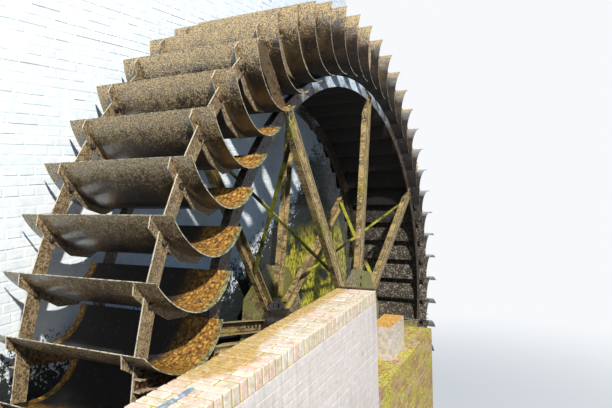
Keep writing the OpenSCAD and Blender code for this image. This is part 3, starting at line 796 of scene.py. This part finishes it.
# Plain metals: the dark ground, the pale grains on it, their scale and how many there are, and
# what else lies over them
METALS = {
    "dark_steel": dict(dark=(0.016, 0.013, 0.012, 1), pale=(0.09, 0.065, 0.048, 1), scale=60.0,
                       amount=0.4, coat=0.3, rust=(0.12, 0.055, 0.025, 1)),
    "dark_iron": dict(dark=(0.012, 0.010, 0.010, 1), pale=(0.07, 0.048, 0.036, 1), scale=50.0,
                      amount=0.35, coat=0.4),
    "pale_iron": dict(dark=(0.34, 0.36, 0.38, 1), pale=(0.62, 0.64, 0.66, 1), scale=60.0, amount=0.6),
    "slate_steel": dict(dark=(0.20, 0.27, 0.36, 1), pale=(0.34, 0.43, 0.54, 1), scale=40.0, amount=0.5),
    "weathered_steel": dict(dark=(0.070, 0.048, 0.029, 1), pale=(0.30, 0.23, 0.135, 1), scale=110.0,
                            amount=0.5, edge=(0.62, 0.59, 0.50, 1)),
    "rusty_steel": dict(dark=(0.05, 0.028, 0.018, 1), pale=(0.32, 0.21, 0.11, 1), scale=50.0,
                        amount=0.42, edge=(0.46, 0.38, 0.28, 1), rust=(0.20, 0.09, 0.03, 1)),
    "hub_steel": dict(dark=(0.07, 0.052, 0.030, 1), pale=(0.36, 0.30, 0.17, 1), scale=45.0,
                      amount=0.45, moss=(0.20, 0.19, 0.05, 1)),
    "mossy_steel": dict(dark=(0.014, 0.012, 0.010, 1), pale=(0.08, 0.06, 0.035, 1), scale=50.0,
                        amount=0.4, moss=(0.48, 0.50, 0.06, 1)),
}

MATERIALS = {name: grainy(name, **look) for name, look in METALS.items()}
MATERIALS |= {
    "white_brick": white_brick(),
    "wet_masonry": wet_masonry(),
    "painted_brick": painted_brick(),
    "mossy_brick": mossy_brick(),
    "coping_brick": coping_brick(),
    "mossy_mortar": mossy_mortar(),
    "limewashed_iron": limewashed_iron(),
    "rusty_iron": limewashed_iron(),
    "spoke_steel": spoke_steel(),
    "ring_steel": ring_steel(),
    "bucket_steel": bucket_steel(),
}

# Pieces with a finish of their own in place of their slot's
SPECIAL_FINISH = {
    "coping_strap": "slate_steel", "pier_wall": "mossy_brick",
    "ring_near": "ring_steel", "ring_far": "ring_steel",
    "spokes_near": "spoke_steel", "spokes_far": "spoke_steel",
    "hub_plate_near": "hub_steel", "hub_plate_far": "hub_steel",
}


def dress_nodes():
    """Gives every node the finish of its slot in the record, or its own special one."""
    for entry in frame["record"]["subparts"]:
        node = frame["nodes"][entry["node"]]
        finish = SPECIAL_FINISH.get(entry["node"], entry["material_slot"])
        node.data.materials.clear()
        node.data.materials.append(MATERIALS[finish])


# Walls

RACE_HALF = -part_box("pit_wall")[1][1]


def mill_bricks():
    """The sides, ends and top of the mill wall, with its opening for the shaft left free."""
    low, left_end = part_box("mill_wall_left")
    _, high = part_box("mill_wall_right")
    hole_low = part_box("mill_wall_base")[1][2]
    half = -left_end[0]
    length, height, depth = high[0] - low[0], high[2] - low[2], high[1] - low[1]
    hole = (-half - low[0], half - low[0], hole_low - low[2], half - low[2])
    back = (high[0] - half, high[0] + half, hole_low - low[2], half - low[2])
    side, end, top = (length, height), (depth, height), (depth, length)
    face = flat_face(low, DOWNSTREAM, UP)
    brick_skin("mill_front_bricks", face, side, "white_brick", [hole])
    face = flat_face((high[0], high[1], low[2]), UPSTREAM, UP)
    brick_skin("mill_back_bricks", face, side, "white_brick", [back])
    face = flat_face((high[0], low[1], low[2]), TO_MILL, UP)
    brick_skin("mill_end_bricks_down", face, end, "white_brick")
    face = flat_face((low[0], high[1], low[2]), FROM_MILL, UP)
    brick_skin("mill_end_bricks_up", face, end, "white_brick")
    face = flat_face((high[0], low[1], high[2]), TO_MILL, UPSTREAM)
    brick_skin("mill_top_bricks", face, top, "white_brick")


def pit_bricks():
    """The near wall, limewashed outside, and the low mossy pier beyond it. Both are wet inside the
    race."""
    low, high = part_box("pit_wall")
    pier_low, pier_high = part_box("pier_wall")
    length, height, depth = high[0] - low[0], high[2] - low[2], high[1] - low[1]
    step = high[2] - pier_high[2]
    pier_length, pier_height = pier_high[0] - pier_low[0], pier_high[2] - pier_low[2]
    face = flat_face(low, DOWNSTREAM, UP)
    brick_skin("pit_outer_bricks", face, (length, height), "painted_brick", relief=LIMEWASH_RELIEF)
    face = flat_face((high[0], high[1], low[2]), UPSTREAM, UP)
    brick_skin("pit_race_bricks", face, (length, height), "wet_masonry")
    face = flat_face((low[0], high[1], low[2]), FROM_MILL, UP)
    brick_skin("pit_up_bricks", face, (depth, height), "painted_brick", relief=LIMEWASH_RELIEF)
    face = flat_face((high[0], low[1], pier_high[2]), TO_MILL, UP)
    brick_skin("pit_down_bricks", face, (depth, step), "painted_brick", relief=LIMEWASH_RELIEF)
    face = flat_face((high[0], low[1], pier_high[2]), DOWNSTREAM, TO_MILL)
    brick_skin("pier_top_bricks", face, (pier_high[0] - high[0], depth), "mossy_brick")
    face = flat_face(pier_low, DOWNSTREAM, UP)
    brick_skin("pier_outer_bricks", face, (pier_length, pier_height), "mossy_brick")
    face = flat_face((pier_high[0], pier_high[1], pier_low[2]), UPSTREAM, UP)
    brick_skin("pier_race_bricks", face, (pier_length, pier_height), "wet_masonry")
    face = flat_face((pier_high[0], pier_low[1], pier_low[2]), TO_MILL, UP)
    brick_skin("pier_down_bricks", face, (depth, pier_height), "mossy_brick")


def race_bricks():
    """The sill's top, the curved breast and the floor of the race."""
    low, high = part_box("inlet_sill")
    width = high[1] - low[1]
    face = flat_face((high[0], low[1], high[2]), TO_MILL, UPSTREAM)
    brick_skin("sill_bricks", face, (width, high[0] - low[0]), "wet_masonry")
    arc = RACE_R * (math.pi / 2 - math.asin(SILL_DROP / RACE_R))
    brick_skin("breast_bricks", breast_face, (width, arc), "wet_masonry")
    low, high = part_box("race_floor")
    face = flat_face((high[0], low[1], high[2]), TO_MILL, UPSTREAM)
    brick_skin("floor_bricks", face, (width, high[0] - low[0]), "wet_masonry")


def coping():
    """Bricks on edge across the wall's top: in each row one long and one short brick, and the long
    one changes ends from row to row. Some have sunk a little."""
    low, high = (np.array(v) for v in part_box("pit_wall_coping"))
    rows = int(round((high[0] - low[0]) / COPING_PITCH))
    step = (high[0] - low[0]) / rows
    x0 = low[0] + step * np.arange(rows)
    split = np.where(np.arange(rows) % 2 == 0, low[1] + SHORT_BRICK, high[1] - SHORT_BRICK)
    gap = COPING_JOINT / 2
    ends = [(np.full(rows, low[1]), split - gap), (split + gap, np.full(rows, high[1]))]
    lows, highs = [], []
    for y0, y1 in ends:
        sunk = rng.uniform(0, COPING_SUNK, rows)
        lows.append(np.stack([x0 + gap, y0, np.full(rows, low[2] + COPING_BED)], 1))
        highs.append(np.stack([x0 + step - gap, y1, high[2] - sunk], 1))
    points, faces = chamfered_boxes(np.concatenate(lows), np.concatenate(highs), COPING_EDGE)
    tone = np.repeat(rng.uniform(0, 1, 2 * rows), BLOCK_POINTS)
    finish = MATERIALS["coping_brick"]
    bricks = mesh_piece("coping_bricks", points, faces, finish, "mill", tone)
    # the mortar stands back from the bricks all round and lies lower between them
    low = low + [MORTAR_IN, MORTAR_IN, 0]
    high = high - [MORTAR_IN, MORTAR_IN, MORTAR_DOWN]
    points, faces = chamfered_boxes(low[None], high[None], MORTAR_EDGE)
    finish = MATERIALS["mossy_mortar"]
    bed = mesh_piece("coping_mortar", points, faces, finish, "mill")
    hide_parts("pit_wall_coping")
    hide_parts("pit_wall_coping")


# Bolts

def bolt_shape(radius, height):
    """A hexagon head with a chamfered top on a round washer, standing up along +Z: five rings of
    twelve points, each a radius by angle at a height, and a point at the middle of the top."""
    ring = np.arange(12)
    after = (ring + 1) % 12
    angles = ring * math.pi / 6
    hexagon = radius / np.cos((angles + math.pi / 6) % (math.pi / 3) - math.pi / 6)
    washer = np.full(12, radius * WASHER_SPREAD)
    levels = [(washer, 0.0), (washer, WASHER_DEPTH), (hexagon, WASHER_DEPTH)]
    levels += [(hexagon, height * HEAD_CHAMFER[1]), (hexagon * HEAD_CHAMFER[0], height)]
    points = []
    for reach, z in levels:
        points.append(np.stack([reach * np.cos(angles), reach * np.sin(angles), np.full(12, z)], 1))
    quads = []
    for base in (0, 12, 24, 36):
        quads.append(np.stack([base + ring, base + after, base + 12 + after, base + 12 + ring], 1))
    cap = np.stack([48 + ring, 48 + after, np.full(12, 60)], 1)
    return np.concatenate(points + [[[0, 0, height]]]), [np.concatenate(quads), cap]


def bolts(name, spots, out, finish, body, radius):
    """Bolt heads at the given points, each standing out along its own direction."""
    points, faces = bolt_shape(radius, HEAD_HEIGHT * radius)
    spots = np.array(spots, float)
    out = np.broadcast_to(np.array(out, float), spots.shape)
    side = np.cross(out, np.where(np.abs(out[:, :1]) > 0.9, [0, 0, 1.0], [1.0, 0, 0]))
    side /= np.linalg.norm(side, axis=1, keepdims=True)
    spin = rng.uniform(0, math.pi, (len(spots), 1))
    first = side * np.cos(spin) + np.cross(out, side) * np.sin(spin)
    frames = np.stack([first, np.cross(out, first), out, spots], 2)
    points, faces = repeated(points, faces, frames)
    mesh_piece(name, points, faces, MATERIALS[finish], body)


def polar(radius, angle, y):
    """Points at a radius and angle about the shaft, at a distance along it."""
    radius, angle, y = np.broadcast_arrays(radius, angle, y)
    return np.stack([radius * np.cos(angle), y, radius * np.sin(angle)], -1).reshape(-1, 3)


def frame_bolts(name, spots, out, radius):
    """Bolts of the wheel's bars, spokes and plates, darker than what they hold."""
    bolts(name, spots, out, "dark_steel", "wheel", radius)


def wheel_bolts():
    """Bolts of both sides: one where each bar meets its bracket, outside and inside, and those of
    the spokes, the hub plates, the hubs and the feet of the braces."""
    lips = FIRST_LIP + PITCH * np.arange(BUCKETS) + BAR_BOLT_LAG
    spokes = FIRST_SPOKE + 2 * math.pi / BAYS * np.arange(BAYS)
    round_hub = np.arange(HUB_BOLTS) * 2 * math.pi / HUB_BOLTS
    for label, side in (("near", -1), ("far", 1)):
        out, back = (0, side, 0), (0, -side, 0)
        at_bars = polar(BAR_BOLT_R, lips, side * TIE_FACE)
        frame_bolts("bar_bolts_" + label, at_bars, out, BAR_BOLT)
        at_brackets = polar(BAR_BOLT_R, lips, side * BRACKET_IN)
        frame_bolts("bracket_bolts_" + label, at_brackets, back, BAR_BOLT)
        web = side * WEB_FACE
        at_ring = [polar(RING_BOLT_R, spokes - RING_BOLT_LAG, web),
                   polar(RING_BOLT_R, spokes + RING_BOLT_LAG, web),
                   polar(TAIL_BOLT_R, spokes, web)]
        frame_bolts("spoke_bolts_" + label, np.concatenate(at_ring), out, SPOKE_BOLT)
        for kind, face, way in (("plate_bolts_", PLATE_FACE, out), ("web_bolts_", WEB_INSIDE, back)):
            at_hub = [polar(radius, spokes, side * face) for radius in PLATE_BOLTS_R]
            frame_bolts(kind + label, np.concatenate(at_hub), way, SPOKE_BOLT)
        at_flange = polar(HUB_BOLT_R, round_hub, side * FLANGE_IN)
        bolts("hub_bolts_" + label, at_flange, back, "dark_iron", "wheel", HUB_BOLT)
        # an inner foot lies behind the middle line on the near side and before it on the far side
        feet = []
        for radius, sign in zip(BRACE_R, (1, -1)):
            beside = spokes[::2] + sign * side * FOOT_BOLT_BESIDE / radius
            for along in (-FOOT_BOLT_ALONG, FOOT_BOLT_ALONG):
                feet.append(polar(radius + along, beside, side * BRACE_FOOT_Y))
        feet = np.concatenate(feet)
        bolts("foot_bolts_" + label, feet, back, "mossy_steel", "wheel", SMALL_BOLT)


def masonry_bolts():
    """Bolt of the strap, and those of the near hood and the far bearing."""
    low, high = (np.array(v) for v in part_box("coping_strap"))
    head = [high[0] - STRAP_BOLT_IN, (low[1] + high[1]) / 2, high[2]]
    bolts("strap_bolt", [head], UP, "pale_iron", "mill", STRAP_BOLT)
    low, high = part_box("bearing_hood_near")
    inset, drop = HOOD_BOLT_IN
    along = np.linspace(low[0] + inset, high[0] - inset, 4)
    heads = [(x, low[1], z) for x in along for z in (drop, high[2] - drop)]
    bolts("hood_bolts", heads, FROM_MILL, "limewashed_iron", "mill", SMALL_BOLT)
    low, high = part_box("bearing_cap_far")
    inset, aside = CAP_BOLT_IN
    across = (low[1] + aside, high[1] - aside)
    heads = [(x, y, high[2]) for x in (low[0] + inset, high[0] - inset) for y in across]
    bolts("cap_bolts", heads, UP, "dark_iron", "mill", BEARING_BOLT)


# Light, floor and background

def make_sun():
    """A round lamp far off. A disk of power P at distance d lights a face that looks at it to
    P / (pi d) squared times its colour, so the power follows from the level that is wanted."""
    data = bpy.data.lights.new("sun", "AREA")
    data.shape = "DISK"
    data.size = SUN_SIZE
    data.energy = SUN_LEVEL * (math.pi * SUN_DISTANCE) ** 2
    data.color = SUN_COLOUR
    light = bpy.data.objects.new("sun", data)
    light.rotation_euler = (-TO_SUN).to_track_quat("-Z", "Y").to_euler()
    light.location = TO_SUN * SUN_DISTANCE
    bpy.context.collection.objects.link(light)


def make_sky():
    """Soft cool light from all round, and a pale background where the camera or a gloss looks."""
    world = bpy.data.worlds.new("studio")
    bpy.context.scene.world = world
    world.use_nodes = True
    tree = world.node_tree
    tree.nodes.clear()
    soft = put(tree, "ShaderNodeBackground", {0: SKY_COLOUR, 1: SKY_LEVEL}).outputs[0]
    pale = put(tree, "ShaderNodeBackground", {0: BACKGROUND, 1: 1.0}).outputs[0]
    mixed = put(tree, "ShaderNodeMixShader", {0: seen_directly(tree), 1: soft, 2: pale})
    output = put(tree, "ShaderNodeOutputWorld")
    tree.links.new(mixed.outputs[0], output.inputs[0])


def seen_directly(tree):
    """1 for rays from the camera, a gloss or glass, and 0 for the light that goes round."""
    path = put(tree, "ShaderNodeLightPath").outputs
    gloss = calc(tree, "MAXIMUM", path["Is Glossy Ray"], path["Is Transmission Ray"])
    return calc(tree, "MAXIMUM", path["Is Camera Ray"], gloss)


def make_floor():
    """A plain pale floor, which throws only a little light back up. Far from the object it fades
    into the background where it is looked at."""
    floor_z = frame_box[0][2]
    mesh = bpy.data.meshes.new("floor")
    square = np.array([(-1, -1), (1, -1), (1, 1), (-1, 1)]) * FLOOR_REACH
    corners = [(x, y, floor_z) for x, y in square.tolist()]
    mesh.from_pydata(corners, [], [(0, 1, 2, 3)])
    floor = bpy.data.objects.new("floor", mesh)
    bpy.context.collection.objects.link(floor)
    material, tree, shader, spot, _ = start("pale_floor")
    seen = seen_directly(tree)
    colour = blend_colour(tree, seen, FLOOR_BOUNCE, FLOOR_SEEN)
    finish_shader(tree, shader, colour, 0.9)
    away = put(tree, "ShaderNodeVectorMath", {0: spot}, operation="LENGTH").outputs["Value"]
    faded = calc(tree, "MULTIPLY", between(tree, away, *FLOOR_FADE), seen)
    pale = put(tree, "ShaderNodeEmission", {0: BACKGROUND, 1: 1.0}).outputs[0]
    mixed = put(tree, "ShaderNodeMixShader", {0: faded, 1: shader.outputs[0], 2: pale})
    output = next(node for node in tree.nodes if node.bl_idname == "ShaderNodeOutputMaterial")
    tree.links.new(mixed.outputs[0], output.inputs[0])
    mesh.materials.append(material)


bpy.context.scene.view_settings.view_transform = "Standard"
make_camera()
make_sun()
make_sky()
make_floor()
dress_nodes()
mill_bricks()
pit_bricks()
race_bricks()
coping()
wheel_bolts()
masonry_bolts()
